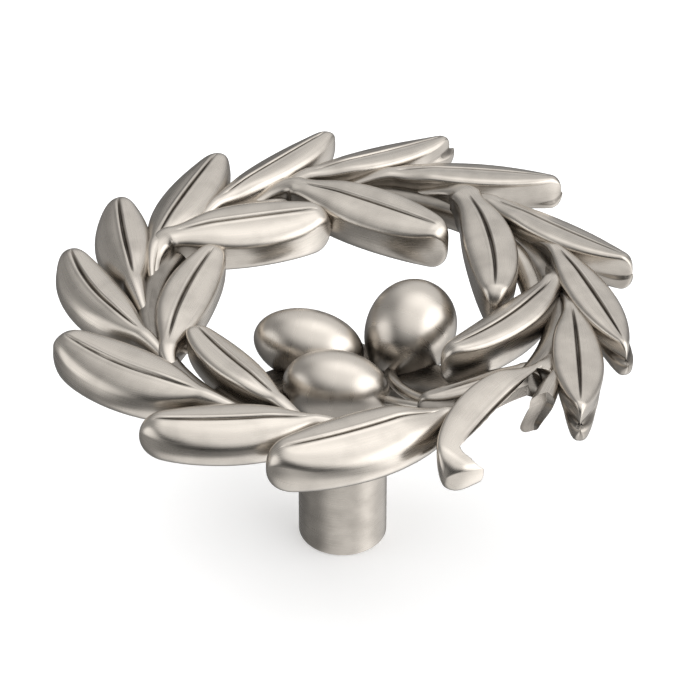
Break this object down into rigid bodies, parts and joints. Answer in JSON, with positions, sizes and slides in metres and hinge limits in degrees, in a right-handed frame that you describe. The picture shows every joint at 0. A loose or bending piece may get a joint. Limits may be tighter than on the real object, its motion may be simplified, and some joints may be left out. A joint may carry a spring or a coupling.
{
  "type": "cabinet knob",
  "caption": "Open laurel wreath cabinet knob with three olives on a round post, satin nickel, cast in one piece, one leaf broken.",
  "frame": {"origin": "middle of the post's foot, on the face that meets the cabinet", "axes": "+Z along the post towards the user; the olives and the broken leaf are on the -Y side; the leaves grow clockwise seen from +Z"},
  "size_m": [0.0641, 0.0634, 0.0358],
  "materials": {
    "nickel": "satin brushed nickel plate, darker in the grooves and between the leaves"
  },
  "bodies": {
    "root": {"knob": "nickel"}
  },
  "joints": []
}
